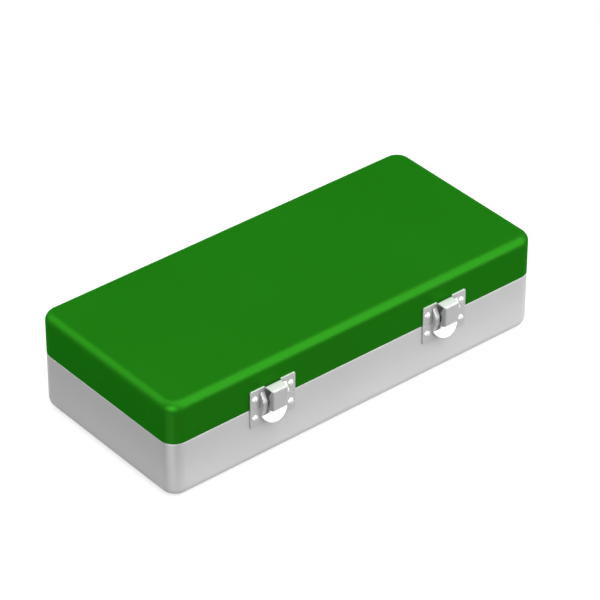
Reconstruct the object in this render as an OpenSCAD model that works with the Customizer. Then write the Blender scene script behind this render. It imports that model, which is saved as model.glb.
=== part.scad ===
// Implant container: a two-part aluminium case with two draw latches in front and
// two butt hinges behind. A perforated tray inside carries a drilled implant rack.
// The origin is the centre of the underside. X runs along the case, the latches
// face -Y and Z points up. All sizes are in millimetres.

/* [Case] */
// Length of the case
case_l = 300; // [260:5:360]
// Width of the case, front to back
case_w = 135.5; // [120:0.5:170]
// Height of the base up to the parting line
base_h = 41.5; // [38:0.5:55]
// Height of the lid above the parting line
lid_h = 30; // [26:0.5:45]
// Radius of the upright corners
corner_r = 11.3; // [9:0.1:16]
// Radius along the bottom edge of the base
base_edge_r = 7.2; // [4:0.1:8.5]
// Radius along the top edge of the lid
lid_edge_r = 6.2; // [4:0.1:8.5]
// Wall of both shells
wall = 2; // [1.6:0.1:2.4]
// Gap between the two rims
seam_gap = 0.2; // [0.1:0.05:0.4]
// Height of the lip that centres the lid
lip_h = 2; // [1:0.1:3]
// Play between that lip and the lid
lip_play = 0.25; // [0.15:0.05:0.4]

/* [Floor vents] */
// Radius of one vent hole
vent_r = 2; // [1:0.1:3]
// Distance between vent holes
vent_pitch = 9; // [8:0.5:10]
// Vent holes along each field
vent_cols = 7; // [3:1:9]
// Vent holes across each field
vent_rows = 5; // [3:1:7]
// Distance of each field's middle from the end of the case
vent_in = 72; // [66:1:84]

/* [Latches] */
// Distance of each latch's middle from the end of the case
latch_in = 79.2; // [60:0.1:100]
// Width of the latch plates
plate_w = 36; // [35:0.5:44]
// Height of each plate from the parting line
plate_h = 14; // [13.5:0.1:16]
// Thickness of the plates
plate_t = 1; // [0.8:0.05:1.1]
// Corner radius of the plates
plate_r = 1.2; // [1:0.1:2.5]
// Half the gap between the two plates
plate_gap = 0.15; // [0.1:0.05:0.3]
// Thickness of the folded sheet
sheet_t = 0.9; // [0.7:0.05:1]
// Half width over the bracket's cheeks
cheek_x = 10.4; // [10:0.1:10.8]
// Half width of the slot between its front flanges
slot_x = 7; // [6.9:0.05:7.5]
// Reach of the cheeks above the parting line
cheek_up = 11; // [10:0.1:11.5]
// Reach of the cheeks below the parting line
cheek_down = 6.1; // [5.5:0.1:6.1]
// How far the cheeks stand out at their knee
knee_d = 5; // [4.9:0.05:5.4]
// Height of the knee
knee_h = 3.5; // [3:0.1:4]
// Drop of the cheeks' foot towards the plate
foot_drop = 0.6; // [0.4:0.1:0.8]
// Stand-out of that foot from the plate
foot_out = 1.2; // [1:0.1:1.4]
// Depth of the cheeks' belly below the parting line
belly_h = 2; // [1.5:0.1:2.5]
// How far the belly lies inside the knee
belly_in = 1.3; // [1.1:0.1:1.5]
// Rise of the rounded shoulder over the knee
shoulder_h = 1.9; // [1.6:0.1:2.1]
// How far the shoulder lies inside the knee
shoulder_in = 0.5; // [0.3:0.05:0.6]
// Length of the cheeks' tip
tip_h = 2.6; // [2.2:0.1:3]
// Stand-out of the tip's root from the plate
tip_out = 2; // [1.8:0.1:2.2]
// Gap between the cheeks and the keeper plate
keeper_gap = 0.3; // [0.25:0.05:0.4]
// How far the lever's pivot stands out
pivot_d = 3; // [2.9:0.05:3.05]
// Height of the lever's pivot
pivot_h = 4.2; // [4:0.1:4.4]
// Radius of the lever's pivot pin
pivot_r = 0.9; // [0.7:0.05:0.95]
// How far the claw's pin stands out
claw_pin_d = 2.8; // [2.75:0.05:2.95]
// Depth of the claw's pin below the parting line
claw_pin_h = 1.6; // [1.4:0.1:1.8]
// Radius of the claw's pin
claw_pin_r = 0.75; // [0.6:0.05:0.85]
// Half width of the claw
claw_x = 6; // [5.9:0.05:6.05]
// How far the claw's face stands out
claw_d = 8.8; // [8.5:0.1:10]
// Height of the claw's top
claw_top = 13.2; // [12.6:0.1:14]
// Reach of the claw's face below the parting line
claw_low = 0.7; // [0.4:0.1:0.8]
// Outer bend radius of the claw
claw_bend = 1.2; // [1:0.1:1.5]
// Play in front of the keeper's face
bar_play = 0.15; // [0.1:0.05:0.3]
// Half width of the notch in the keeper
notch_x = 6.5; // [6.2:0.1:7]
// Depth of that notch
notch_h = 1.5; // [1:0.1:2]
// Half width of the lever's neck
neck_x = 4.6; // [4.2:0.1:4.7]
// Thickness of the lever's sheet
lever_t = 1; // [0.8:0.05:1]
// Half width of the thumb tab
tab_x = 10.3; // [9:0.1:11]
// Length of the thumb tab
tab_l = 7.6; // [6.5:0.1:8.5]
// Gap between the cheeks' feet and the thumb tab
tab_play = 0.4; // [0.3:0.05:0.6]
// Outward tilt of the thumb tab, degrees
tab_tilt = 22; // [15:1:28]
// Width of metal left round every pin hole
eye_wall = 0.8; // [0.7:0.05:0.9]
// Thickness of the flat heads of the latch pins
pin_head_h = 0.4; // [0.3:0.05:0.5]
// Overhang of those heads round the pin
pin_head_rim = 0.4; // [0.3:0.05:0.5]
// Height of the bracket window's foot above the plate's lower edge
window_low = 3; // [2.5:0.1:4]
// Metal left above that window
window_top = 1.2; // [1:0.1:1.5]
// Half width of the window behind the lever
window_x = 8; // [7:0.1:9]
// Flat top of the claw's side behind its bend
claw_edge = 0.6; // [0.4:0.1:1]
// Slope of the claw's side from its top down to its waist
claw_slope_h = 5.6; // [5:0.1:6]
// How far the waist draws in over the lever's pivot
claw_waist = 0.7; // [0.5:0.1:0.9]
// Play of every turning pin
pin_play = 0.05; // [0.03:0.01:0.08]
// Play of every fixed pin
fixed_play = 0.02; // [0.01:0.01:0.03]

/* [Latch rivets] */
// Distance of the rivets from the latch's centre
rivet_x = 14.1; // [14:0.1:14.9]
// Distance of the rivets from the parting line
rivet_h = 7; // [6:0.1:9]
// Radius of a rivet's domed head
rivet_head_r = 2.5; // [2:0.1:2.7]
// Height of a rivet's domed head
rivet_head_h = 1.5; // [1:0.1:1.7]
// Radius of a rivet's shank
rivet_r = 1.25; // [1:0.05:1.4]
// Radius of the tail inside the case
tail_r = 2.1; // [1.8:0.1:2.4]
// Height of the tail inside the case
tail_h = 0.8; // [0.5:0.1:1]

/* [Hinges] */
// Distance of each hinge's middle from the end of the case
hinge_in = 58; // [45:1:100]
// Length of a hinge along its pin
hinge_l = 37; // [34:0.5:44]
// Height of each hinge leaf
leaf_h = 13; // [12:0.5:15]
// Thickness of the leaves
leaf_t = 1; // [0.8:0.05:1.1]
// Distance of the pin from the rear wall
hinge_d = 2.7; // [2.6:0.05:3.2]
// Radius of the knuckles
knuckle_r = 2.1; // [1.8:0.05:2.15]
// Number of knuckles
knuckle_n = 5; // [3:2:7]
// Gap between the knuckles and the other leaf's edge
leaf_play = 0.3; // [0.2:0.05:0.5]
// Gap between neighbouring knuckles
knuckle_gap = 0.2; // [0.1:0.05:0.3]
// Radius of the hinge pin
hinge_pin_r = 1; // [0.8:0.05:1.1]
// Thickness of the pin's peened heads
peen_h = 0.6; // [0.4:0.1:0.8]
// Overhang of those heads round the pin
peen_rim = 0.5; // [0.3:0.05:0.6]
// Distance of the leaf's rivets from its middle
leaf_rivet_x = 12; // [8:0.5:13]
// Distance of the leaf's rivets from the pin
leaf_rivet_h = 8; // [7:0.1:9]

/* [Tray] */
// Clearance all round the tray
tray_play = 4; // [3.5:0.1:6]
// Height of the tray's wall
tray_h = 26; // [20:0.5:29]
// Thickness of the tray's sheet
tray_t = 1; // [0.8:0.05:1.2]
// Radius of the tray's corners
tray_r = 8; // [6:0.5:12]
// Width of the rim that is turned outwards
rim_w = 2; // [1.5:0.1:2.5]
// Radius of one hole in the tray's floor
sieve_r = 2.6; // [2:0.1:3]
// Distance between those holes
sieve_pitch = 17; // [15:0.5:18]
// Holes along the tray
sieve_cols = 15; // [9:1:15]
// Holes across the tray
sieve_rows = 6; // [4:1:6]
// Width of the lifting lug at each end
lug_w = 60; // [54:1:70]
// Height of a lug above the tray's rim
lug_h = 14; // [13:0.5:16]
// Corner radius of a lug
lug_r = 6; // [4:0.5:7]
// Metal left above the finger slot
grip_edge = 2.5; // [2:0.1:3]
// Length of the finger slot in a lug
grip_l = 40; // [34:1:44]
// Height of that slot
grip_h = 10; // [9:0.5:12]
// Height of the tray's feet
foot_h = 3; // [2:0.1:4]
// Radius of the tray's feet
foot_r = 4; // [3:0.1:5]

/* [Implant rack] */
// Length of the rack plate
rack_l = 178; // [170:1:190]
// Width of the rack plate
rack_w = 92; // [88:1:100]
// Thickness of the rack plate
rack_t = 2; // [1.5:0.1:3]
// Distance of the rack from the tray's left end
rack_in = 23; // [18:1:30]
// Corner radius of the rack plate
rack_r = 5; // [3:0.5:8]
// Height of the plate above the tray's floor
rack_up = 18; // [14:0.5:24]
// Holes along one row of the rack
rack_cols = 11; // [6:1:12]
// Distance between the holes of a row
rack_pitch = 14; // [12:0.5:14]
// Rows of holes
rack_rows = 5; // [3:1:5]
// Distance between rows
row_pitch = 15; // [13:0.5:16]
// Radius of the holes in the first row
hole_small = 1.3; // [1:0.1:1.6]
// Growth of that radius from row to row
hole_step = 0.3; // [0.1:0.05:0.35]
// Distance of a post from the plate's edges
post_in = 7; // [6:0.5:8]
// Radius of a post
post_r = 3.5; // [3:0.1:4.5]
// Radius of the screw in a post
screw_r = 1.5; // [1:0.1:2]
// Radius of a screw's head
screw_head_r = 3; // [2.6:0.1:3.6]
// Height of a screw's head
screw_head_h = 2; // [1.5:0.1:2.6]
// Width and depth of the slot in a screw's head
screw_slot = 0.8; // [0.6:0.1:1.2]
// Thickness of the nut under the tray
nut_h = 1.6; // [1.2:0.1:2.4]

/* [Hidden] */
$fn = 64;
over = 1;

// Places that follow from the sizes above
pivot = [pivot_d, pivot_h];
claw_pin = [claw_pin_d, -claw_pin_h];
vent_x = case_l / 2 - vent_in;
latch_x = case_l / 2 - latch_in;
hinge_x = case_l / 2 - hinge_in;
tray_l = case_l - 2 * wall - 2 * tray_play;
tray_w = case_w - 2 * wall - 2 * tray_play;
tray_z = wall + foot_h;
tray_floor_z = tray_z + tray_t;
rack_x = rack_in + rack_l / 2 - tray_l / 2;
rack_z = tray_floor_z + rack_up;
post_x = rack_l / 2 - post_in;
post_y = rack_w / 2 - post_in;

// Colours
green = [0.12, 0.46, 0.08];
aluminium = [0.76, 0.77, 0.78];
steel = [0.84, 0.84, 0.85];
rack_blue = [0.28, 0.36, 0.52];
silicone = [0.35, 0.36, 0.38];

// Quarter disc that rounds a lower right corner
module quarter_disc(r) {
    intersection() {
        circle(r);
        translate([0, -r]) square(r);
    }
}

// Half of a wall section: from the axis out to r, rounded by e at the foot
module half_section(r, h, e) {
    square([r - e, h]);
    translate([0, e]) square([r, h - e]);
    translate([r - e, e]) quarter_disc(e);
}

// Whole section across a beam of width w
module section(w, h, e) {
    half_section(w / 2, h, e);
    mirror([1, 0]) half_section(w / 2, h, e);
}

// Block with upright corners r and a foot edge e, standing on z = 0
module rounded_block(l, w, h, r, e) {
    corners = [[1, 1, 0], [-1, 1, 90], [-1, -1, 180], [1, -1, 270]];
    for (c = corners)
        translate([c[0] * (l / 2 - r), c[1] * (w / 2 - r), 0])
            rotate([0, 0, c[2]]) rotate_extrude(angle = 90) half_section(r, h, e);
    rotate([90, 0, 90]) linear_extrude(l - 2 * r, center = true) section(w, h, e);
    rotate([90, 0, 0]) linear_extrude(w - 2 * r, center = true) section(l, h, e);
}

// Flat outline with round corners
module plan(l, w, r) {
    square([l - 2 * r, w], center = true);
    square([l, w - 2 * r], center = true);
    for (x = [-1, 1], y = [-1, 1]) translate([x * (l / 2 - r), y * (w / 2 - r)]) circle(r);
}

// Drawn shell, open at the top, with a radius inside as outside
module shell(h, e) {
    difference() {
        rounded_block(case_l, case_w, h, corner_r, e);
        translate([0, 0, wall])
            rounded_block(case_l - 2 * wall, case_w - 2 * wall, h, corner_r - wall, e - wall);
    }
}

// Frames of the latches and hinges: y points into the case, z up from the parting line
module at_front(x) {
    translate([x, -case_w / 2, base_h]) children();
}

module at_rear(x) {
    translate([x, case_w / 2, base_h]) rotate([0, 0, 180]) children();
}

// Sheet cut from a flat outline and laid on the wall
module on_wall(t) {
    rotate([90, 0, 0]) linear_extrude(t) children();
}

// Profile drawn as [stand-out, height], extruded from x0 to x1
module profile(x0, x1) {
    translate([x0, 0, 0]) rotate([90, 0, 90]) linear_extrude(x1 - x0) mirror([1, 0]) children();
}

// The same profile on both sides of the middle
module both_sides(x0, x1) {
    profile(x0, x1) children();
    profile(-x1, -x0) children();
}

// Rivet through the wall: the head stands on a sheet of thickness t
module rivet(t) {
    cap_r = (rivet_head_r * rivet_head_r + rivet_head_h * rivet_head_h) / (2 * rivet_head_h);
    rotate([90, 0, 0]) {
        translate([0, 0, t]) rotate_extrude() intersection() {
            translate([0, rivet_head_h - cap_r]) circle(cap_r);
            square([rivet_head_r, rivet_head_h]);
        }
        translate([0, 0, -wall]) cylinder(h = wall + t, r = rivet_r);
        translate([0, 0, -wall - tail_h]) cylinder(h = tail_h, r = tail_r);
    }
}

// Clearance hole of a rivet, through wall and sheet
module rivet_hole() {
    rotate([90, 0, 0]) cylinder(h = 4 * wall, r = rivet_r + fixed_play, center = true);
}

module latch_rivet_places(side) {
    for (x = [-1, 1]) translate([x * rivet_x, 0, side * rivet_h]) children();
}

module hinge_rivet_places(side) {
    for (x = [-1, 1]) translate([x * leaf_rivet_x, 0, side * leaf_rivet_h]) children();
}

// Rivet holes of both latches and both hinges in one shell
module shell_rivet_holes(side) {
    for (s = [-1, 1]) {
        at_front(s * latch_x) latch_rivet_places(side) rivet_hole();
        at_rear(s * hinge_x) hinge_rivet_places(side) rivet_hole();
    }
}

module vent_field(x) {
    for (i = [0 : vent_cols - 1], j = [0 : vent_rows - 1])
        translate([x + (i - (vent_cols - 1) / 2) * vent_pitch, (j - (vent_rows - 1) / 2) * vent_pitch, 0])
            cylinder(h = 4 * wall, r = vent_r, center = true, $fn = 32);
}

// Base: a drawn shell whose rim is stepped to leave the lip, with vents and rivet holes
module base_shell() {
    lip_in = wall / 2 + lip_play;
    color(aluminium) difference() {
        shell(base_h + lip_h, base_edge_r);
        translate([0, 0, base_h]) linear_extrude(lip_h + over) difference() {
            plan(case_l + 2 * over, case_w + 2 * over, corner_r + over);
            plan(case_l - 2 * lip_in, case_w - 2 * lip_in, corner_r - lip_in);
        }
        vent_field(-vent_x);
        vent_field(vent_x);
        shell_rivet_holes(-1);
    }
}

// Lid: the same kind of shell upside down, its rim thinned where it drops over the lip
module lid_shell() {
    color(green) difference() {
        translate([0, 0, base_h + lid_h]) mirror([0, 0, 1]) shell(lid_h - seam_gap, lid_edge_r);
        translate([0, 0, base_h]) linear_extrude(lip_h + lip_play)
            plan(case_l - wall, case_w - wall, corner_r - wall / 2);
        shell_rivet_holes(1);
    }
}

// Plate outline in [x, height], square at the parting line and round at the far corners
module plate_outline(w, h, r, gap) {
    translate([-w / 2, gap]) square([w, h - gap - r]);
    translate([r - w / 2, gap]) square([w - 2 * r, h - gap]);
    for (s = [-1, 1]) translate([s * (w / 2 - r), h - r]) circle(r);
}

// Outer line of a cheek, from its foot up to its tip
cheek_line = [
    [plate_t, -cheek_down - foot_drop],
    [plate_t + foot_out, -cheek_down],
    [knee_d - belly_in, -belly_h],
    [knee_d, knee_h],
    [knee_d - shoulder_in, knee_h + shoulder_h],
    [plate_t + tip_out, cheek_up - tip_h],
    [plate_t + keeper_gap, cheek_up]
];

function unit(v) = v / norm(v);

// Outward normal of the run from a to b
function side_normal(a, b) = let (u = unit(b - a)) [u[1], -u[0]];

// Line moved inwards by t, with mitred corners
function inset_line(p, t) = [
    for (i = [0 : len(p) - 1])
        let (
            n0 = side_normal(p[max(i - 1, 0)], p[max(i, 1)]),
            last = len(p) - 1,
            n1 = side_normal(p[min(i, last - 1)], p[min(i + 1, last)]),
            m = unit(n0 + n1)
        )
        p[i] - m * t / (m * n1)
];

function reversed(p) = [for (i = [len(p) - 1 : -1 : 0]) p[i]];

module cheek_outline() {
    foot = plate_t / 2;
    polygon(concat(
        [[foot, -cheek_down - foot_drop]], cheek_line,
        [[plate_t + keeper_gap, -plate_gap], [foot, -plate_gap]]
    ));
}

// Bracket: riveted plate with two cheeks, their front edges folded inwards
module latch_bracket(x) {
    color(steel) at_front(x) difference() {
        union() {
            on_wall(plate_t) mirror([0, 1]) plate_outline(plate_w, plate_h, plate_r, plate_gap);
            both_sides(cheek_x - sheet_t, cheek_x) cheek_outline();
            both_sides(slot_x, cheek_x) intersection() {
                cheek_outline();
                polygon(concat(cheek_line, reversed(inset_line(cheek_line, sheet_t))));
            }
        }
        translate([-window_x, -2 * plate_t, window_low - plate_h])
            cube([2 * window_x, 3 * plate_t, plate_h - window_low - window_top]);
        latch_rivet_places(-1) rivet_hole();
        profile(-plate_w, plate_w) translate(pivot) circle(pivot_r + fixed_play);
    }
}

// Keeper: riveted plate with a notch in its upper edge for the claw's bar
module keeper(x) {
    color(steel) at_front(x) difference() {
        on_wall(plate_t) plate_outline(plate_w, plate_h, plate_r, plate_gap);
        translate([-notch_x, -2 * plate_t, plate_h - notch_h])
            cube([2 * notch_x, 4 * plate_t, 2 * notch_h]);
        latch_rivet_places(1) rivet_hole();
    }
}

module bracket_rivets(x) {
    color(steel) at_front(x) latch_rivet_places(-1) rivet(plate_t);
}

module keeper_rivets(x) {
    color(steel) at_front(x) latch_rivet_places(1) rivet(plate_t);
}

// Pin with a flat head outside each cheek
module lever_pin(x) {
    end = cheek_x + pin_head_h;
    color(steel) at_front(x) {
        profile(-end, end) translate(pivot) circle(pivot_r);
        both_sides(cheek_x, end) translate(pivot) circle(pivot_r + pin_head_rim);
    }
}

// Pin through the lever's ears and the claw's eyes
module claw_pin(x) {
    head_x = claw_x + pin_play;
    end = head_x + pin_head_h;
    color(steel) at_front(x) {
        profile(-end, end) translate(claw_pin) circle(claw_pin_r);
        both_sides(head_x, end) translate(claw_pin) circle(claw_pin_r + pin_head_rim);
    }
}

// Lever: two ears on the pivot, a neck between the claw's sides and a half-round tab
module latch_lever(x) {
    eye_f = eye_wall + pivot_r;
    eye_p = eye_wall + claw_pin_r;
    tab_top = -cheek_down - tab_play;
    face = plate_t + keeper_gap + lever_t;
    tab_disc = (tab_x * tab_x + tab_l * tab_l) / (2 * tab_l);
    ear_in = neck_x - lever_t;
    neck_top = -claw_pin_h - eye_p;
    bend = [face, tab_top];
    along = [sin(tab_tilt), -cos(tab_tilt)];
    inwards = [-cos(tab_tilt), -sin(tab_tilt)];
    lap = 0.5;
    color(steel) at_front(x) difference() {
        union() {
            both_sides(ear_in, neck_x) {
                translate(pivot) circle(eye_f);
                translate(claw_pin) circle(eye_p);
                polygon([
                    [pivot_d - pivot_r, pivot_h], [pivot_d + pivot_r, pivot_h],
                    [claw_pin_d + claw_pin_r, -claw_pin_h], [face, tab_top],
                    [face - lever_t, tab_top], [claw_pin_d - eye_p, -claw_pin_h]
                ]);
            }
            profile(-neck_x, neck_x) polygon([
                [face - lever_t, neck_top], [face, neck_top], bend, bend + lap * along,
                bend + lap * along + lever_t * inwards,
                [face - lever_t, tab_top - lever_t * tan(tab_tilt / 2)]
            ]);
            translate([0, -face, tab_top]) rotate([-tab_tilt, 0, 0]) rotate([90, 0, 0])
                translate([0, 0, -lever_t]) linear_extrude(lever_t) intersection() {
                    translate([0, tab_disc - tab_l]) circle(tab_disc);
                    translate([-tab_x, -tab_l]) square([2 * tab_x, tab_l]);
                }
        }
        profile(-claw_x, claw_x) translate(pivot) circle(pivot_r + pin_play);
        profile(-claw_x, claw_x) translate(claw_pin) circle(claw_pin_r + fixed_play);
    }
}

// Side view of the claw: top bar, side wall, eye round the pin and rolled lower edge
module claw_side() {
    eye = eye_wall + claw_pin_r;
    bar_d = plate_t + bar_play;
    back = claw_pin_d + eye - pin_play;
    top_end = claw_d - claw_bend - claw_edge;
    difference() {
        union() {
            translate([bar_d, claw_top - sheet_t]) square([claw_d - claw_bend - bar_d, sheet_t]);
            polygon([
                [claw_d, -claw_low], [claw_d, claw_top - claw_bend],
                [claw_d - claw_bend, claw_top], [top_end, claw_top],
                [back, claw_top - claw_slope_h], [back + claw_waist, pivot_h],
                [back, 0], [claw_pin_d, -claw_pin_h + eye],
                [claw_pin_d, -claw_pin_h - eye], [claw_d - sheet_t, -claw_low - sheet_t]
            ]);
            translate([claw_d - claw_bend, claw_top - claw_bend]) circle(claw_bend);
            translate(claw_pin) circle(eye);
            translate([claw_d - sheet_t, -claw_low]) circle(sheet_t);
        }
        translate(claw_pin) circle(claw_pin_r + pin_play);
    }
}

// Plan of the claw, [x, stand-out], with rounded front corners
module claw_plan() {
    depth = claw_d + over;
    translate([-claw_x, -over]) square([2 * claw_x, depth - claw_bend]);
    translate([claw_bend - claw_x, 0]) square([2 * (claw_x - claw_bend), claw_d]);
    for (s = [-1, 1]) translate([s * (claw_x - claw_bend), claw_d - claw_bend]) circle(claw_bend);
}

// Claw: a folded cap whose top bar reaches back to the keeper
module latch_claw(x) {
    inner_x = claw_x - sheet_t;
    tall = claw_top + 10;
    color(steel) at_front(x) difference() {
        intersection() {
            profile(-claw_x, claw_x) claw_side();
            translate([0, 0, -5]) linear_extrude(tall) mirror([0, 1]) claw_plan();
        }
        translate([-inner_x, -claw_d + sheet_t, -claw_low])
            cube([2 * inner_x, claw_d, claw_top - sheet_t + claw_low]);
        translate([-inner_x, 2 * sheet_t - claw_d, -tall])
            cube([2 * inner_x, claw_d, tall]);
    }
}

// One knuckle's span along the pin
function knuckle_span(i) = let (pitch = hinge_l / knuckle_n) [
    -hinge_l / 2 + i * pitch + knuckle_gap / 2, -hinge_l / 2 + (i + 1) * pitch - knuckle_gap / 2
];

// Leaf of a hinge. The base leaf takes the knuckles with even numbers
module hinge_leaf(x, side) {
    odd = side > 0 ? 1 : 0;
    clear = knuckle_r + leaf_play;
    bore = hinge_pin_r + (side > 0 ? pin_play : fixed_play);
    color(steel) at_rear(x) difference() {
        union() {
            on_wall(leaf_t) mirror([0, side > 0 ? 0 : 1])
                plate_outline(hinge_l, leaf_h, plate_r, clear);
            for (i = [odd : 2 : knuckle_n - 1]) {
                span = knuckle_span(i);
                profile(span[0], span[1]) translate([hinge_d, 0]) circle(knuckle_r);
                profile(span[0], span[1]) mirror([0, side > 0 ? 0 : 1])
                    square([leaf_t, clear + over]);
                profile(span[0], span[1]) mirror([0, side > 0 ? 0 : 1])
                    square([hinge_d, leaf_t]);
            }
        }
        profile(-hinge_l, hinge_l) translate([hinge_d, 0]) circle(bore);
        hinge_rivet_places(side) rivet_hole();
    }
}

module hinge_rivets(x, side) {
    color(steel) at_rear(x) hinge_rivet_places(side) rivet(leaf_t);
}

// Hinge pin with a peened head at each end
module hinge_pin(x) {
    end = hinge_l / 2;
    color(steel) at_rear(x) {
        profile(-end - peen_h, end + peen_h) translate([hinge_d, 0]) circle(hinge_pin_r);
        both_sides(end, end + peen_h) translate([hinge_d, 0]) circle(hinge_pin_r + peen_rim);
    }
}

// Tray: a perforated sheet pan with a turned rim and a lifting lug at each end
module insert_tray() {
    rim_z = tray_z + tray_h;
    color(steel) difference() {
        union() {
            translate([0, 0, tray_z]) linear_extrude(tray_h) plan(tray_l, tray_w, tray_r);
            translate([0, 0, rim_z - tray_t]) linear_extrude(tray_t)
                plan(tray_l + 2 * rim_w, tray_w + 2 * rim_w, tray_r + rim_w);
            for (s = [-1, 1]) translate([s * (tray_l - tray_t) / 2, 0, rim_z - over])
                rotate([0, -90, 0]) linear_extrude(tray_t, center = true) lug_outline();
        }
        translate([0, 0, tray_floor_z]) linear_extrude(tray_h)
            plan(tray_l - 2 * tray_t, tray_w - 2 * tray_t, tray_r - tray_t);
        for (i = [0 : sieve_cols - 1], j = [0 : sieve_rows - 1])
            translate([(i - (sieve_cols - 1) / 2) * sieve_pitch, (j - (sieve_rows - 1) / 2) * sieve_pitch, tray_z])
                cylinder(h = 4 * tray_t, r = sieve_r, center = true, $fn = 32);
        for (x = [-1, 1], y = [-1, 1]) translate([rack_x + x * post_x, y * post_y, tray_z])
            cylinder(h = 4 * tray_t, r = screw_r + fixed_play, center = true);
    }
}

// Lug in [height, width], its foot sunk by the overlap and its slot cut through
module lug_outline() {
    r = lug_r;
    grip_r = grip_h / 2;
    grip_z = over + lug_h - grip_edge - grip_r;
    difference() {
        union() {
            translate([0, -lug_w / 2]) square([over + lug_h - r, lug_w]);
            translate([0, r - lug_w / 2]) square([over + lug_h, lug_w - 2 * r]);
            for (s = [-1, 1]) translate([over + lug_h - r, s * (lug_w / 2 - r)]) circle(r);
        }
        translate([grip_z - grip_r, grip_r - grip_l / 2]) square([grip_h, grip_l - grip_h]);
        for (s = [-1, 1]) translate([grip_z, s * (grip_l / 2 - grip_r)]) circle(grip_r);
    }
}

// Four round feet that carry the tray on the base's floor
module tray_feet() {
    in = tray_r + foot_r;
    color(silicone)
        for (x = [-1, 1], y = [-1, 1]) translate([x * (tray_l / 2 - in), y * (tray_w / 2 - in), wall])
            cylinder(h = foot_h, r = foot_r);
}

// Rack: a drilled plate, each row of holes a step wider than the one before
module implant_rack() {
    color(rack_blue) translate([rack_x, 0, rack_z]) difference() {
        linear_extrude(rack_t) plan(rack_l, rack_w, rack_r);
        for (j = [0 : rack_rows - 1], i = [0 : rack_cols - 1])
            translate([(i - (rack_cols - 1) / 2) * rack_pitch, (j - (rack_rows - 1) / 2) * row_pitch, 0])
                cylinder(h = 4 * rack_t, r = hole_small + j * hole_step, center = true, $fn = 32);
        for (x = [-1, 1], y = [-1, 1]) translate([x * post_x, y * post_y, 0])
            cylinder(h = 4 * rack_t, r = screw_r + fixed_play, center = true);
    }
}

module post_places() {
    for (x = [-1, 1], y = [-1, 1]) translate([rack_x + x * post_x, y * post_y, 0]) children();
}

// Posts: tubes between the tray's floor and the rack plate
module rack_posts() {
    color(aluminium) post_places() translate([0, 0, tray_floor_z]) difference() {
        cylinder(h = rack_up, r = post_r);
        cylinder(h = 4 * rack_up, r = screw_r + fixed_play, center = true);
    }
}

// Slotted screws through plate, post and tray, with a thin nut under the tray
module rack_screws() {
    top = rack_z + rack_t;
    color(steel) post_places() {
        translate([0, 0, tray_z - nut_h]) cylinder(h = nut_h, r = screw_head_r);
        translate([0, 0, tray_z]) cylinder(h = top - tray_z, r = screw_r);
        translate([0, 0, top]) difference() {
            cylinder(h = screw_head_h, r = screw_head_r);
            translate([-screw_head_r, -screw_slot / 2, screw_head_h - screw_slot])
                cube([2 * screw_head_r, screw_slot, screw_head_h]);
        }
    }
}

base_shell();
insert_tray();
tray_feet();
implant_rack();
rack_posts();
rack_screws();
latch_bracket(-latch_x);  // latch_bracket_left
latch_bracket(latch_x);  // latch_bracket_right
bracket_rivets(-latch_x);  // bracket_rivets_left
bracket_rivets(latch_x);  // bracket_rivets_right
lever_pin(-latch_x);  // lever_pin_left
lever_pin(latch_x);  // lever_pin_right
latch_lever(-latch_x);  // latch_lever_left
latch_lever(latch_x);  // latch_lever_right
claw_pin(-latch_x);  // claw_pin_left
claw_pin(latch_x);  // claw_pin_right
latch_claw(-latch_x);  // latch_claw_left
latch_claw(latch_x);  // latch_claw_right
hinge_leaf(-hinge_x, -1);  // hinge_base_leaf_left
hinge_leaf(hinge_x, -1);  // hinge_base_leaf_right
hinge_rivets(-hinge_x, -1);  // hinge_base_rivets_left
hinge_rivets(hinge_x, -1);  // hinge_base_rivets_right
hinge_pin(-hinge_x);  // hinge_pin_left
hinge_pin(hinge_x);  // hinge_pin_right
lid_shell();
keeper(-latch_x);  // keeper_left
keeper(latch_x);  // keeper_right
keeper_rivets(-latch_x);  // keeper_rivets_left
keeper_rivets(latch_x);  // keeper_rivets_right
hinge_leaf(-hinge_x, 1);  // hinge_lid_leaf_left
hinge_leaf(hinge_x, 1);  // hinge_lid_leaf_right
hinge_rivets(-hinge_x, 1);  // hinge_lid_rivets_left
hinge_rivets(hinge_x, 1);  // hinge_lid_rivets_right
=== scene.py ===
"""Implant container: an aluminium case with a green lid, two draw latches and two hinges.

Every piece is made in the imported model's own frame, in metres: X along the case, the
latches towards -Y, Z up from the underside.
"""
import math

import bmesh
import bpy
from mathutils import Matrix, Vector


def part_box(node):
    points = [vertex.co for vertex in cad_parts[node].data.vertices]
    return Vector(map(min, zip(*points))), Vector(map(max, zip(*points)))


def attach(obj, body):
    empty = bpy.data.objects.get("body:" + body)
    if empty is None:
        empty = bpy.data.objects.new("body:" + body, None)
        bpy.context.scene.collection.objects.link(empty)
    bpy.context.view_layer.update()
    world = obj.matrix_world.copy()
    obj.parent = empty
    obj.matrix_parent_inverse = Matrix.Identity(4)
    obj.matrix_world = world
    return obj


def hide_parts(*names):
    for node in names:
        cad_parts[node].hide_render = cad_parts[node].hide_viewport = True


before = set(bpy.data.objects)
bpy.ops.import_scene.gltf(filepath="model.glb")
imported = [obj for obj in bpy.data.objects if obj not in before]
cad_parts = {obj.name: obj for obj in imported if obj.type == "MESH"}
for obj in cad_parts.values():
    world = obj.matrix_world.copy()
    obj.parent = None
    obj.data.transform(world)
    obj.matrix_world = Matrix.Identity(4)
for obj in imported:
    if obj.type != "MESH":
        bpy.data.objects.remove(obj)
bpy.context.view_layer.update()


# The base
# A shallow pan drawn from 2 mm aluminium sheet, glass-bead blasted and anodised in its
# natural grey. Its rim is stepped to leave a centring lip, and two fields of steam vents
# are punched through the floor before blasting.

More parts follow.
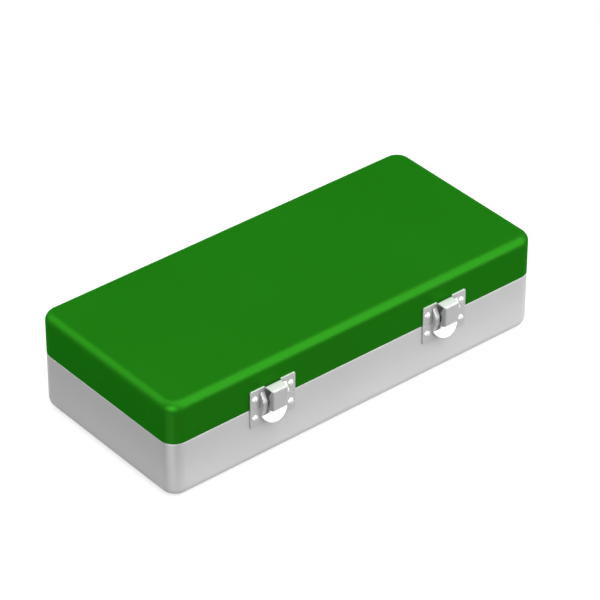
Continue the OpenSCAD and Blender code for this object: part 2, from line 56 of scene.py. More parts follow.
class Number:
    """An output of a node tree. Arithmetic on it adds the Math nodes that work it out."""

    def __init__(self, tree, socket):
        self.tree = tree
        self.socket = socket

    def __add__(self, other):
        return self.tree.math("ADD", self, other)

    def __sub__(self, other):
        return self.tree.math("SUBTRACT", self, other)

    def __rsub__(self, other):
        return self.tree.math("SUBTRACT", other, self)

    def __mul__(self, other):
        return self.tree.math("MULTIPLY", self, other)

    def __truediv__(self, other):
        return self.tree.math("DIVIDE", self, other)

    __radd__ = __add__

    def clipped(self):
        return self.tree.math("MINIMUM", self.tree.math("MAXIMUM", self, 0.0), 1.0)


class Tree:
    """A node tree, with one call that adds any node, sets it and fills its sockets."""

    def __init__(self, data):
        self.data = data
        self.data.nodes.clear()

    def node(self, kind, settings=None, inputs=None, out=0):
        made = self.data.nodes.new(kind)
        for name, value in (settings or {}).items():
            setattr(made, name, value)
        for name, value in (inputs or {}).items():
            if isinstance(value, Number):
                self.data.links.new(value.socket, made.inputs[name])
            else:
                made.inputs[name].default_value = value
        return Number(self, made.outputs[out]) if len(made.outputs) else made

    def math(self, operation, first, second=0.0):
        return self.node("ShaderNodeMath", {"operation": operation}, {0: first, 1: second})


class Finish(Tree):
    """A material for one kind of surface, read in the piece's own coordinates in metres."""

    def __init__(self, name):
        self.material = bpy.data.materials.new(name)
        self.material.use_nodes = True
        super().__init__(self.material.node_tree)
        self.place = self.node("ShaderNodeTexCoord", out="Object")

    def stretched(self, scale):
        """The place, scaled differently along X, Y and Z."""
        return self.node("ShaderNodeMapping", None, {"Vector": self.place, "Scale": scale})

    def noise(self, size, detail=2.0, roughness=0.5, place=None):
        """Cloudy noise around 0.5 whose lumps are about size across, in metres."""
        return self.node("ShaderNodeTexNoise", None, {
            "Vector": place or self.place, "Scale": 1 / size,
            "Detail": detail, "Roughness": roughness})

    def axis(self, name):
        return self.node("ShaderNodeSeparateXYZ", None, {0: self.place}, out=name)

    def ramp(self, value, low, high):
        """0 where the value is below low, 1 above high, smooth between."""
        return self.node("ShaderNodeMapRange", {"interpolation_type": "SMOOTHSTEP"}, {
            "Value": value, "From Min": low, "From Max": high})

    def blend(self, factor, first, second):
        """From the first colour to the second."""
        mixed = self.data.nodes.new("ShaderNodeMix")
        mixed.data_type = "RGBA"
        for index, value in ((0, factor), (6, first), (7, second)):
            if isinstance(value, Number):
                self.data.links.new(value.socket, mixed.inputs[index])
            else:
                mixed.inputs[index].default_value = value
        return Number(self, mixed.outputs[2])

    def bump(self, height, depth):
        """A surface that stands out by depth, in metres, where the height is 1."""
        return self.node("ShaderNodeBump", None, {
            "Height": height, "Distance": depth, "Strength": 1.0})

    def close(self, **sockets):
        """Ends the tree in one Principled shader, its sockets named with spaces as _."""
        inputs = {name.replace("_", " "): value for name, value in sockets.items()}
        shader = self.node("ShaderNodeBsdfPrincipled", None, inputs)
        self.node("ShaderNodeOutputMaterial", None, {"Surface": shader})
        return self.material


def grey(level, warmth=0.0):
    """A nearly neutral colour, a little warm for warmth above 0."""
    return (level * (1 + warmth), level, level * (1 - warmth), 1.0)


def scuffs(finish, length, width, share):
    """A mask of sparse short scratches, lying in two directions."""
    marks = []
    for scale in ((1 / length, 1 / width, 1 / width), (1 / width, 1 / length, 1 / width)):
        streaks = finish.noise(1.0, 1.0, 0.5, finish.stretched(scale))
        marks.append(finish.ramp(streaks, 1 - share, 1 - share / 3))
    patches = finish.ramp(finish.noise(SCUFF_PATCH, 2.0), 0.5, 0.68)
    return (marks[0] + marks[1]).clipped() * patches


def painted_corner_reflection(finish, reach_x, reach_y):
    """A mask of one soft stripe up each upright corner, where a reflection is painted."""
    past_x = finish.math("ABSOLUTE", finish.axis("X")) - (reach_x - CORNER_RADIUS)
    past_y = finish.math("ABSOLUTE", finish.axis("Y")) - (reach_y - CORNER_RADIUS)
    inside = finish.ramp(past_x, 0.0, CORNER_RADIUS * 0.2)
    inside = inside * finish.ramp(past_y, 0.0, CORNER_RADIUS * 0.2)
    lean = finish.math("ABSOLUTE", past_x - past_y - CORNER_RADIUS * 0.12)
    return inside * (1 - finish.ramp(lean, CORNER_RADIUS * 0.08, CORNER_RADIUS * 0.52))


def blasted_aluminium():
    """Bead-blasted natural anodising: fine matt grain, slow clouds, bright scuffs, painted
    light.

    It is painted a little lighter towards the foot, as light bounced off the floor. The rounded
    foot is painted darker in patches, as shade, and a reflection is painted up each corner.
    """
    finish = Finish("blasted_aluminium")
    clouds = finish.noise(BASE_CLOUD, 3.0, 0.55)
    grain = finish.noise(BASE_GRAIN, 2.0, 0.6)
    marks = scuffs(finish, BASE_SCUFF_LENGTH, BASE_SCUFF_WIDTH, 0.36)
    height = finish.axis("Z")
    # Painted shade: the rounded foot is painted darker in patches, as shade where it meets the
    # table; the same patches are a little smoother.
    foot = 1 - finish.ramp(height, *FOOT_ZONE)
    foot = foot * (0.15 + finish.ramp(height, 0.0, FLAT_ZONE) * 0.85)
    foot_shade_patches = foot * finish.ramp(finish.noise(FOOT_PATCH, 4.0), 0.3, 0.62)
    # Painted bounce light: the wall is painted lighter towards the foot, mixed with random
    # clouds.
    painted_bounce_light = 1 - finish.ramp(height, *BOUNCE_ZONE)
    shade = finish.blend(
        painted_bounce_light * 0.7 + clouds * 0.3,
        grey(BASE_LEVEL * 0.9, -BASE_WARMTH), grey(BASE_LEVEL * 1.16, BASE_WARMTH))
    shade = finish.blend(marks * 0.22, shade, grey(BASE_LEVEL * SCUFF_AND_REFLECTION_BRIGHT))
    shade = finish.blend(foot_shade_patches * 0.6, shade, grey(BASE_LEVEL * FOOT_SHADE_LEVEL))
    # A painted reflection up each upright corner, in the scuffs' bright colour.
    shade = finish.blend(
        painted_corner_reflection(finish, *case_reach), shade, grey(BASE_LEVEL * SCUFF_AND_REFLECTION_BRIGHT))
    roughness = 0.44 + (clouds - 0.5) * 0.12 - marks * 0.08 - foot_shade_patches * 0.08
    return finish.close(
        Base_Color=shade, Metallic=0.3, Roughness=roughness, Specular_IOR_Level=0.25,
        Normal=finish.bump(grain, 0.000018))


def copied(node, name):
    """A copy of a CAD piece, without its stored normals."""
    piece = bpy.data.objects.new(name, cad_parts[node].data.copy())
    bpy.context.scene.collection.objects.link(piece)
    for attribute in ("custom_normal", "sharp_edge", "sharp_face"):
        if attribute in piece.data.attributes:
            piece.data.attributes.remove(piece.data.attributes[attribute])
    return piece


def softened(piece, radius, steps=2, share=lambda edge: 1.0):
    """Joins loose triangles into flats and rounds each sharp edge to a share of the radius."""
    mesh = bmesh.new()
    mesh.from_mesh(piece.data)
    bmesh.ops.remove_doubles(mesh, verts=mesh.verts, dist=SAME_PLACE)
    bmesh.ops.dissolve_limit(mesh, angle_limit=FLAT_ANGLE, verts=mesh.verts, edges=mesh.edges)
    weight = mesh.edges.layers.float.new("bevel_weight_edge")
    for face in mesh.faces:
        face.smooth = True
    for edge in mesh.edges:
        if edge.calc_face_angle(0.0) > SHARP_ANGLE:
            edge[weight] = share(edge)
            edge.smooth = edge[weight] > 0
    mesh.to_mesh(piece.data)
    mesh.free()
    edges = piece.modifiers.new("edges", "BEVEL")
    edges.width = radius
    edges.segments = steps
    edges.limit_method = "WEIGHT"
    edges.use_clamp_overlap = False
    edges.miter_outer = "MITER_ARC"
    flats = piece.modifiers.new("flats", "WEIGHTED_NORMAL")
    flats.keep_sharp = True
    return settled(piece)


def settled(piece):
    """The same object with its modifiers worked into a plain mesh."""
    graph = bpy.context.evaluated_depsgraph_get()
    result = bpy.data.meshes.new_from_object(piece.evaluated_get(graph), depsgraph=graph)
    piece.modifiers.clear()
    piece.data = result
    return piece


def fit(piece, finish, body, slot, *nodes):
    """Gives a piece its one material and its body, and hides the nodes it stands for. The slot
    is not used.
    """
    piece.data.materials.clear()
    piece.data.materials.append(finish)
    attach(piece, body)
    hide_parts(*nodes)


SAME_PLACE = 0.000002
FLAT_ANGLE = math.radians(0.4)
SHARP_ANGLE = math.radians(30.0)
CORNER_RADIUS = 0.0113
SCUFF_PATCH = 0.045
BASE_LEVEL = 0.60
BASE_WARMTH = 0.004
BASE_CLOUD = 0.06
BASE_GRAIN = 0.0005
BASE_SCUFF_LENGTH = 0.011
BASE_SCUFF_WIDTH = 0.00045
# This bright level serves both the scuffs and the painted corner reflection.
SCUFF_AND_REFLECTION_BRIGHT = 1.25
# The level of the painted shade along the foot.
FOOT_SHADE_LEVEL = 0.7
FOOT_ZONE = (0.0015, 0.005)
FLAT_ZONE = 0.0004
FOOT_PATCH = 0.004
# The heights over which the painted bounce light fades.
BOUNCE_ZONE = (0.004, 0.04)
BASE_EDGE = 0.0006
STEP_ZONE = 0.0035
LIP_ZONE = 0.001
VENT_ZONE = 0.003

base_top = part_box("base_shell")[1]
lip_top, case_reach = base_top.z, base_top[:2]


def base_share(edge):
    """The rim under the lid is rounded in full, the lip and vents by less, the rest not."""
    height = edge.verts[0].co.z
    if lip_top - STEP_ZONE < height < lip_top - LIP_ZONE:
        return 1.0 if edge.is_convex else 0.3
    return 0.4 if height > lip_top - STEP_ZONE or height < VENT_ZONE else 0.0


aluminium = blasted_aluminium()
fit(softened(copied("base_shell", "drawn_base"), BASE_EDGE, 2, base_share),
    aluminium, "case", "base_aluminium", "base_shell")


# The insert tray and its feet
# A pan folded from 1 mm stainless sheet with a punched floor, a rim turned outwards and
# a lug at each end with a slot for two fingers. Four silicone buttons keep it off the
# floor of the base, so that water can drain under it.

def brushed_steel(name, level, roughness, along, metal=0.6, lit_top_height=None):
    """Stainless sheet brushed along one axis, smudged, and given a painted highlight along its
    top.
    """
    finish = Finish(name)
    across = [1 / BRUSH_WIDTH] * 3
    across[along] = 1 / BRUSH_LENGTH
    grain = finish.noise(1.0, 3.0, 0.6, finish.stretched(across))
    smudges = finish.ramp(finish.noise(SMUDGE_SIZE, 3.0), 0.45, 0.7)
    shade = finish.blend(grain, grey(level * 0.93), grey(level * 1.06))
    shade = finish.blend(smudges * 0.3, shade, grey(level * 0.92, 0.01))
    if lit_top_height:
        # Painted highlight: the sheet is lighter over its top, just under the given height, as
        # lit from above.
        top = finish.ramp(finish.axis("Z"), lit_top_height - LIT_TOP_ZONE[0], lit_top_height - LIT_TOP_ZONE[1])
        shade = finish.blend(top, shade, grey(LIT_TOP_LEVEL))
    return finish.close(
        Base_Color=shade, Metallic=metal, Specular_IOR_Level=0.3,
        Roughness=roughness + (grain - 0.5) * 0.12 + smudges * 0.07,
        Normal=finish.bump(grain, 0.000012))


def silicone():
    """Dull grey moulded rubber with a fine powdery skin."""
    finish = Finish("moulded_silicone")
    powder = finish.noise(0.0006, 3.0, 0.6)
    shade = finish.blend(powder, grey(0.10), grey(0.135, 0.01))
    return finish.close(
        Base_Color=shade, Roughness=0.62 + powder * 0.12, Normal=finish.bump(powder, 0.00001))


BRUSH_LENGTH = 0.02
BRUSH_WIDTH = 0.00018
SMUDGE_SIZE = 0.014
# The depth and level of the painted top highlight.
LIT_TOP_ZONE = (0.0004, 0.0001)
LIT_TOP_LEVEL = 0.82
TRAY_EDGE = 0.0002
FOOT_EDGE = 0.0005

tray_steel = brushed_steel("brushed_tray_steel", 0.5, 0.36, 0)
fit(softened(copied("insert_tray", "folded_tray"), TRAY_EDGE),
    tray_steel, "case", "tray_steel", "insert_tray")
fit(softened(copied("tray_feet", "moulded_feet"), FOOT_EDGE, 3),
    silicone(), "case", "silicone", "tray_feet")


# The implant rack
# A 2 mm plate in blue anodised aluminium, drilled in rows whose holes grow by a step from
# row to row, and held over the tray's floor on four tube posts by slotted screws.

class Pattern(Tree):
    """A Geometry Nodes tree with named sizes, which is worked into a plain mesh."""

    def __init__(self, name, finish):
        self.group = bpy.data.node_groups.new(name, "GeometryNodeTree")
        super().__init__(self.group)
        self.finish = finish
        self.sizes = {}
        self.group.interface.new_socket(
            "Geometry", in_out="INPUT", socket_type="NodeSocketGeometry")
        self.group.interface.new_socket(
            "Geometry", in_out="OUTPUT", socket_type="NodeSocketGeometry")

    def size(self, name, value):
        """A named input of the tree, a whole number if the value is one."""
        kind = "NodeSocketInt" if isinstance(value, int) else "NodeSocketFloat"
        socket = self.group.interface.new_socket(name, in_out="INPUT", socket_type=kind)
        self.sizes[socket.identifier] = value
        return self.node("NodeGroupInput", out=name)

    def points(self):
        """The mesh whose vertices are the places that the pattern fills."""
        return self.node("NodeGroupInput", out="Geometry")

    def vector(self, x, y, z):
        return self.node("ShaderNodeCombineXYZ", None, {0: x, 1: y, 2: z})

    def joined(self, *parts):
        made = self.data.nodes.new("GeometryNodeJoinGeometry")
        for part in reversed(parts):
            self.data.links.new(part.socket, made.inputs[0])
        return Number(self, made.outputs[0])

    def piece(self, name, result, places=()):
        """Ends the tree and gives its result as an object with one plain mesh."""
        real = self.node("GeometryNodeRealizeInstances", None, {"Geometry": result})
        made = self.node("GeometryNodeSetMaterial", None, {
            "Geometry": real, "Material": self.finish})
        self.node("NodeGroupOutput", None, {"Geometry": made})
        mesh = bpy.data.meshes.new(name)
        mesh.from_pydata(list(places), [], [])
        piece = bpy.data.objects.new(name, mesh)
        bpy.context.scene.collection.objects.link(piece)
        modifier = piece.modifiers.new(name, "NODES")
        modifier.node_group = self.group
        for identifier, value in self.sizes.items():
            modifier[identifier] = value
        return settled(piece)


def hole_rows(pattern, columns, rows, pitch, row_pitch, first, step, sides):
    """Circles on a grid of places, each row's radius a step larger than the last's."""
    grid = pattern.node("GeometryNodeMeshGrid", None, {
        "Size X": pitch * (columns - 1), "Size Y": row_pitch * (rows - 1),
        "Vertices X": columns, "Vertices Y": rows}, out="Mesh")
    height = pattern.node("ShaderNodeSeparateXYZ", None, {
        0: pattern.node("GeometryNodeInputPosition")}, out="Y")
    row = height / row_pitch + (rows - 1) * 0.5
    scale = first + row * step
    circle = pattern.node("GeometryNodeCurvePrimitiveCircle", None, {
        "Resolution": sides, "Radius": 1.0}, out="Curve")
    return pattern.node("GeometryNodeInstanceOnPoints", None, {
        "Points": grid, "Instance": circle, "Scale": pattern.vector(scale, scale, scale)})


def punched_plate(pattern, length, width, corner, thick, holes):
    """A plate with round corners, standing on z = 0, with holes along the given circles."""
    edge = pattern.node("GeometryNodeCurvePrimitiveQuadrilateral", None, {
        "Width": length, "Height": width})
    edge = pattern.node("GeometryNodeFilletCurve", {"mode": "POLY"}, {
        "Curve": edge, "Count": CORNER_STEPS, "Radius": corner})
    outline = pattern.node("GeometryNodeRealizeInstances", None, {
        "Geometry": pattern.joined(edge, *holes)})
    foot = pattern.node("GeometryNodeFillCurve", None, {"Curve": outline})
    walls = pattern.node("GeometryNodeExtrudeMesh", None, {
        "Mesh": foot, "Offset Scale": thick, "Individual": False}, out="Mesh")
    under = pattern.node("GeometryNodeFlipFaces", None, {"Mesh": foot})
    return pattern.node("GeometryNodeMergeByDistance", None, {
        "Geometry": pattern.joined(walls, under), "Distance": SAME_PLACE})


def blue_anodising():
    """Blue-dyed matt anodising, with a slow change of depth and a fine grain."""
    finish = Finish("blue_anodising")
    clouds = finish.noise(0.05, 3.0)
    grain = finish.noise(0.0005, 2.0, 0.6)
    shade = finish.blend(clouds, RACK_DEEP, RACK_LIGHT)
    return finish.close(
        Base_Color=shade, Metallic=0.5, Roughness=0.40 + clouds * 0.08,
        Normal=finish.bump(grain, 0.000014))


RACK_DEEP = (0.040, 0.075, 0.175, 1.0)
RACK_LIGHT = (0.055, 0.096, 0.215, 1.0)
RACK_CORNER = 0.005
CORNER_STEPS = 10
RACK_EDGE = 0.00025
HOLE_PITCH = 0.014
ROW_PITCH = 0.015
HOLE_COLUMNS = 11
HOLE_ROWS = 5
FIRST_HOLE = 0.0013
HOLE_STEP = 0.0003
HOLE_SIDES = 32
POST_INSET = 0.007
SCREW_HOLE = 0.00152
SCREW_HOLE_SIDES = 24
POST_EDGE = 0.0003
SCREW_EDGE = 0.0002

low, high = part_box("implant_rack")
rack_blue = blue_anodising()
rack = Pattern("drilled_rack", rack_blue)
rack_length = rack.size("Length", high.x - low.x)
rack_width = rack.size("Width", high.y - low.y)
columns, rows = rack.size("Columns", HOLE_COLUMNS), rack.size("Rows", HOLE_ROWS)
pitch, row_pitch = rack.size("Pitch", HOLE_PITCH), rack.size("Row pitch", ROW_PITCH)
first, step = rack.size("First hole", FIRST_HOLE), rack.size("Step", HOLE_STEP)
inset, screw_hole = rack.size("Post inset", POST_INSET), rack.size("Screw hole", SCREW_HOLE)
implant_holes = hole_rows(rack, columns, rows, pitch, row_pitch, first, step, HOLE_SIDES)
screw_holes = hole_rows(
    rack, 2, 2, rack_length - inset * 2, rack_width - inset * 2, screw_hole, 0.0,
    SCREW_HOLE_SIDES)
plate = punched_plate(
    rack, rack_length, rack_width, rack.size("Corner", RACK_CORNER),
    rack.size("Thickness", high.z - low.z), (implant_holes, screw_holes))
plate = rack.node("GeometryNodeTransform", None, {
    "Geometry": plate, "Translation": ((low.x + high.x) / 2, (low.y + high.y) / 2, low.z)})
fit(softened(rack.piece("drilled_rack", plate), RACK_EDGE),
    rack_blue, "case", "rack_blue", "implant_rack")
screw_steel = brushed_steel("turned_screw_steel", 0.6, 0.26, 2)
fit(softened(copied("rack_posts", "tube_posts"), POST_EDGE),
    aluminium, "case", "base_aluminium", "rack_posts")
fit(softened(copied("rack_screws", "slotted_screws"), SCREW_EDGE),
    screw_steel, "case", "screw_steel", "rack_screws")


# The draw latches
# Each is pressed from bright stainless sheet. A bracket with two roof-shaped cheeks is
# riveted to the base. A lever turns on a pin across the cheeks, with a half-round thumb
# tab below. The claw hangs on the lever's own pin and pulls down on the keeper.

LATCH_LEVEL = 0.54
LATCH_ROUGHNESS = 0.38
LATCH_METAL = 0.45
# The lever's lighter level is a painted highlight.
LEVER_LIT_LEVEL = 0.76
LEVER_ROUGHNESS = 0.30
CLAW_LEVEL = 0.50
CLAW_ROUGHNESS = 0.5
CLAW_METAL = 0.15
PIN_LEVEL = 0.50
PIN_ROUGHNESS = 0.25
SHEET_EDGE = 0.00018
CLAW_EDGE = 0.00022
PIN_EDGE = 0.00012

latch_steel = brushed_steel("pressed_latch_steel", LATCH_LEVEL, LATCH_ROUGHNESS, 2, LATCH_METAL)
# The lever is a lighter copy of the latch steel, a painted highlight that makes its thumb tab
# look lit; its lower roughness is its own.
lit_lever_steel = brushed_steel("lit_lever_steel", LEVER_LIT_LEVEL, LEVER_ROUGHNESS, 2, LATCH_METAL)
# The claw's and the keeper's tops carry the painted highlight.
claw_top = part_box("latch_claw_left")[1].z
claw_steel = brushed_steel("hook_steel", CLAW_LEVEL, CLAW_ROUGHNESS, 2, CLAW_METAL, claw_top)
keeper_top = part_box("keeper_left")[1].z
keeper_steel = brushed_steel(
    "keeper_steel", LATCH_LEVEL, LATCH_ROUGHNESS, 2, LATCH_METAL, keeper_top)
pin_steel = brushed_steel("ground_pin_steel", PIN_LEVEL, PIN_ROUGHNESS, 0, LATCH_METAL)
for side in ("left", "right"):
    pressings = (
        ("latch_bracket_", "bracket_sheet_", SHEET_EDGE, latch_steel, "case"),
        ("keeper_", "keeper_sheet_", SHEET_EDGE, keeper_steel, "lid"),
        ("latch_lever_", "lever_sheet_", SHEET_EDGE, lit_lever_steel, "lever_" + side),
        ("latch_claw_", "claw_sheet_", CLAW_EDGE, claw_steel, "claw_" + side))
    for node, name, edge, steel, body in pressings:
        fit(softened(copied(node + side, name + side), edge),
            steel, body, "latch_steel", node + side)
    for node, name, body in (
            ("lever_pin_", "lever_axle_", "case"), ("claw_pin_", "claw_axle_", "lever_" + side)):
        fit(softened(copied(node + side, name + side), PIN_EDGE),
            pin_steel, body, "pin_steel", node + side)


# The hinges
# Two plain butt hinges behind, their leaves riveted to the base and the lid. The leaves'
# edges are rolled into five knuckles round a steel pin that is peened at both ends.

HINGE_EDGE = 0.0002

hinge_steel = brushed_steel("rolled_hinge_steel", LATCH_LEVEL, LATCH_ROUGHNESS, 0, LATCH_METAL)
for side in ("left", "right"):
    for node, name, body in (
            ("hinge_base_leaf_", "base_leaf_", "case"), ("hinge_lid_leaf_", "lid_leaf_", "lid")):
        fit(softened(copied(node + side, name + side), HINGE_EDGE),
            hinge_steel, body, "hinge_steel", node + side)
    fit(softened(copied("hinge_pin_" + side, "hinge_axle_" + side), PIN_EDGE),
        pin_steel, "case", "pin_steel", "hinge_pin_" + side)


# The rivets
# Sixteen domed steel rivets hold the latches and the hinges. Each shank goes through
# plate and wall and is closed into a flat tail inside the case.

def turned_rivet(pattern, head, height, shank, tail, tail_height, grip):
    """One rivet along Z: its dome above z = 0, its shank and tail below."""
    sheet = pattern.node("GeometryNodeMeshGrid", None, {
        "Size X": 1.0, "Size Y": 1.0,
        "Vertices X": AROUND + 1, "Vertices Y": RINGS + 1}, out="Mesh")
    place = pattern.node("GeometryNodeInputPosition")
    across = pattern.node("ShaderNodeSeparateXYZ", None, {0: place}, out="X")
    down = pattern.node("ShaderNodeSeparateXYZ", None, {0: place}, out="Y") + 0.5
    cap = (head * head + height * height) / (height * 2.0)
    tilt = pattern.math("ARCSINE", head / cap) * down
    out = cap * pattern.math("SINE", tilt)
    turn = across * (2 * math.pi)
    dome = pattern.node("GeometryNodeSetPosition", None, {
        "Geometry": sheet, "Position": pattern.vector(
            out * pattern.math("COSINE", turn), out * pattern.math("SINE", turn),
            height - cap * (1.0 - pattern.math("COSINE", tilt)))})
    seat = pattern.node("GeometryNodeMeshCircle", {"fill_type": "NGON"}, {
        "Vertices": AROUND, "Radius": head})
    seat = pattern.node("GeometryNodeFlipFaces", None, {"Mesh": seat})
    dome = pattern.node("GeometryNodeMergeByDistance", None, {
        "Geometry": pattern.joined(dome, seat), "Distance": DOME_SEAM})
    rods = []
    for radius, length, middle in (
            (shank, grip, grip * -0.5), (tail, tail_height, grip * -1.0 - tail_height * 0.5)):
        rod = pattern.node("GeometryNodeMeshCylinder", None, {
            "Vertices": AROUND, "Radius": radius, "Depth": length}, out="Mesh")
        rods.append(pattern.node("GeometryNodeTransform", None, {
            "Geometry": rod, "Translation": pattern.vector(0.0, 0.0, middle)}))
    return pattern.joined(dome, *rods)


def rivet_set(name, nodes, body):
    """All rivets of one body, where the named nodes have theirs, facing away from the case."""
    low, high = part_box(nodes[0])
    pattern = Pattern(name, rivet_steel)
    head = pattern.size("Head radius", (high.z - low.z) / 2)
    height = pattern.size("Head height", HEAD_HEIGHT)
    tail_height = pattern.size("Tail height", TAIL_HEIGHT)
    grip = pattern.size("Grip", high.y - low.y - HEAD_HEIGHT - TAIL_HEIGHT)
    rivet = turned_rivet(
        pattern, head, height, pattern.size("Shank radius", SHANK_RADIUS),
        pattern.size("Tail radius", TAIL_RADIUS), tail_height, grip)
    behind = pattern.node("ShaderNodeSeparateXYZ", None, {
        0: pattern.node("GeometryNodeInputPosition")}, out="Y")
    facing = pattern.math("SIGN", behind) * (-math.pi / 2)
    rivets = pattern.node("GeometryNodeInstanceOnPoints", None, {
        "Points": pattern.points(), "Instance": rivet,
        "Rotation": pattern.vector(facing, 0.0, 0.0)})
    places = []
    for node in nodes:
        low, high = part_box(node)
        radius = (high.z - low.z) / 2
        seat = low.y + HEAD_HEIGHT if low.y < 0 else high.y - HEAD_HEIGHT
        places += [(x, seat, low.z + radius) for x in (low.x + radius, high.x - radius)]
    piece = pattern.piece(name, rivets, places)
    for face in piece.data.polygons:
        face.use_smooth = True
    piece.data.set_sharp_from_angle(angle=RIVET_SHARP)
    fit(piece, rivet_steel, body, "rivet_steel", *nodes)


AROUND = 32
RINGS = 7
DOME_SEAM = 0.000003
RIVET_SHARP = math.radians(40.0)
RIVET_LEVEL = 0.72
RIVET_ROUGHNESS = 0.3
RIVET_METAL = 0.7
HEAD_HEIGHT = 0.0015
TAIL_HEIGHT = 0.0008
SHANK_RADIUS = 0.00125
TAIL_RADIUS = 0.0021

rivet_steel = brushed_steel(
    "domed_rivet_steel", RIVET_LEVEL, RIVET_ROUGHNESS, 0, RIVET_METAL)
rivet_set("case_rivets", [
    "bracket_rivets_left", "bracket_rivets_right",
    "hinge_base_rivets_left", "hinge_base_rivets_right"], "case")
rivet_set("lid_rivets", [
    "keeper_rivets_left", "keeper_rivets_right",
    "hinge_lid_rivets_left", "hinge_lid_rivets_right"], "lid")


# The lid
# The same kind of drawn pan upside down, blasted more finely than the base and anodised
# in a deep satin green. Its rim is thinned inside to drop over the lip of the base.

def green_anodising():
    """Dyed anodising: even, satin, a little deeper in slow clouds, with hairline rubs."""
    finish = Finish("green_anodising")
    clouds = finish.noise(LID_CLOUD, 3.0, 0.5)
    grain = finish.noise(LID_GRAIN, 2.0, 0.6)
    marks = scuffs(finish, LID_SCUFF_LENGTH, LID_SCUFF_WIDTH, 0.34)
    shade = finish.blend(clouds, LID_DEEP, LID_LIGHT)
    shade = finish.blend(marks * 0.16, shade, LID_SCUFF_AND_REFLECTION)
    # Each upright corner gets a painted reflection, kept to the walls below the top edge's
    # curve.
    walls = 1 - finish.ramp(
        finish.axis("Z"), lid_foot + LID_CURVE[0], lid_foot + LID_CURVE[1])
    shade = finish.blend(painted_corner_reflection(finish, *case_reach) * walls * 0.22, shade, LID_SCUFF_AND_REFLECTION)
    roughness = LID_ROUGHNESS + (clouds - 0.5) * 0.08 + marks * 0.06
    return finish.close(
        Base_Color=shade, Metallic=LID_METAL, Roughness=roughness,
        Specular_IOR_Level=0.0, Specular_Tint=(0.2, 1.0, 0.12, 1.0),
        Coat_Weight=0.03, Coat_Roughness=0.35, Normal=finish.bump(grain, 0.000008))


LID_DEEP = (0.0118, 0.1435, 0.0048, 1.0)
LID_LIGHT = (0.0134, 0.1545, 0.0058, 1.0)
# This light green serves both the hairline scuffs and the painted corner reflection.
LID_SCUFF_AND_REFLECTION = (0.036, 0.290, 0.024, 1.0)
LID_METAL = 0.7
LID_ROUGHNESS = 0.455
LID_CLOUD = 0.09
LID_GRAIN = 0.0004
LID_SCUFF_LENGTH = 0.016
LID_SCUFF_WIDTH = 0.0004
LID_CURVE = (0.022, 0.026)
LID_EDGE = 0.0003

lid_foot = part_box("lid_shell")[0].z
lid_green = green_anodising()
drawn_lid = softened(
    copied("lid_shell", "drawn_lid"), LID_EDGE, 2,
    lambda edge: float(edge.verts[0].co.z < lid_foot + STEP_ZONE))
fit(drawn_lid, lid_green, "lid", "lid_green", "lid_shell")


# The studio
# A plain white table under a white surround, both white for the camera. The surround is
# white in reflections too, and the table dimmer, because the walls mirror it. The soft
# lamps do the lighting, so the table keeps a soft shadow.

def seen_directly(tree, camera, mirrored):
    """A strength for camera rays, one for glossy and transmission rays, else 0."""
    rays = [tree.node("ShaderNodeLightPath", out=name)
            for name in ("Is Camera Ray", "Is Glossy Ray", "Is Transmission Ray")]
    return rays[0] * camera + (rays[1] + rays[2]).clipped() * mirrored


AMBIENT = 0.15
TABLE_SIZE = (0.90, 0.84)
TABLE_PAINT = 0.45
TABLE_GLOW = 0.70
TABLE_MIRRORED = 0.25
TABLE_DROP = 0.0002

world = bpy.data.worlds.new("surround")
world.use_nodes = True
bpy.context.scene.world = world
surround = Tree(world.node_tree)
strength = AMBIENT + seen_directly(surround, 1 - AMBIENT, 1 - AMBIENT)
light = surround.node("ShaderNodeBackground", None, {"Color": grey(1.0), "Strength": strength})
surround.node("ShaderNodeOutputWorld", None, {"Surface": light})

table = bpy.data.meshes.new("table")
wide, deep = TABLE_SIZE[0] / 2, TABLE_SIZE[1] / 2
corners = [(-wide, -deep, 0), (wide, -deep, 0), (wide, deep, 0), (-wide, deep, 0)]
table.from_pydata(corners, [], [(0, 1, 2, 3)])
table_top = bpy.data.objects.new("table", table)
table_top.location.z = -TABLE_DROP
bpy.context.scene.collection.objects.link(table_top)
paint = Finish("table_white")
paper = paint.noise(0.02, 2.0)
white = paint.blend(paper, grey(TABLE_PAINT * 0.995), grey(TABLE_PAINT))
matt = paint.node("ShaderNodeBsdfDiffuse", None, {"Color": white})
glow = paint.node("ShaderNodeEmission", None, {
    "Color": grey(1.0), "Strength": seen_directly(paint, TABLE_GLOW, TABLE_MIRRORED)})
painted = paint.node("ShaderNodeAddShader", None, {0: matt, 1: glow})
paint.node("ShaderNodeOutputMaterial", None, {"Surface": painted})
table.materials.append(paint.material)


def outwards(azimuth, elevation):
    """The direction from the case, turned from the front to the right, and raised."""
    return Vector((
        math.sin(azimuth) * math.cos(elevation),
        -math.cos(azimuth) * math.cos(elevation),
        math.sin(elevation)))


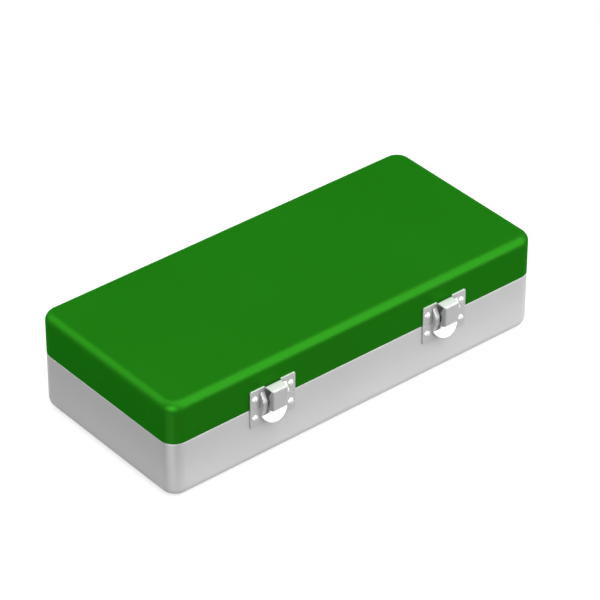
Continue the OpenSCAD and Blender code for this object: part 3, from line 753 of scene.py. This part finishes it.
def softbox(name, azimuth, elevation, distance, size, power, only_mirrored=False):
    """A square soft lamp aimed at the case, or one that only shows mirrored in it."""
    lamp = bpy.data.lights.new(name, "AREA")
    lamp.size = size
    lamp.energy = power
    holder = bpy.data.objects.new(name, lamp)
    holder.visible_diffuse = not only_mirrored
    away = outwards(math.radians(azimuth), math.radians(elevation))
    holder.location = away * distance + Vector((0, 0, AIM_HEIGHT))
    holder.rotation_mode = "QUATERNION"
    holder.rotation_quaternion = (-away).to_track_quat("-Z", "Y")
    bpy.context.scene.collection.objects.link(holder)


AIM_HEIGHT = 0.04

softbox("front_right", 42.0, 40.0, 2.4, 2.7, 58.0)
softbox("front_low", 32.0, 9.0, 2.2, 0.9, 7.0)
softbox("overhead", 0.0, 85.0, 2.2, 1.8, 21.0)
softbox("left_front", -49.0, 19.0, 2.2, 1.8, 50.0, only_mirrored=True)
softbox("rear_left", -148.0, 41.0, 2.4, 2.3, 33.0)


# The camera
# A long lens at the height of a standing viewer, set so that the case fills the square
# picture as the photograph's does.

VIEW_AZIMUTH = math.radians(-39.6)
VIEW_ELEVATION = math.radians(34.82)
VIEW_DISTANCE = 2.23476
VIEW_SHIFT = (0.00598, 0.04037)
LENS_PIXELS = 3441.26
PICTURE_PIXELS = 600
SENSOR = 36.0

back = outwards(VIEW_AZIMUTH, VIEW_ELEVATION)
right = Vector((math.cos(VIEW_AZIMUTH), math.sin(VIEW_AZIMUTH), 0.0))
up = back.cross(right)
lens = bpy.data.cameras.new("camera")
lens.sensor_width = SENSOR
lens.lens = SENSOR * LENS_PIXELS / PICTURE_PIXELS
lens.clip_start = 0.05
lens.clip_end = 50.0
camera = bpy.data.objects.new("camera", lens)
camera.location = back * VIEW_DISTANCE + right * VIEW_SHIFT[0] + up * VIEW_SHIFT[1]
camera.rotation_mode = "QUATERNION"
camera.rotation_quaternion = (-back).to_track_quat("-Z", "Y")
bpy.context.scene.collection.objects.link(camera)
bpy.context.scene.camera = camera
bpy.context.scene.view_settings.view_transform = "Standard"
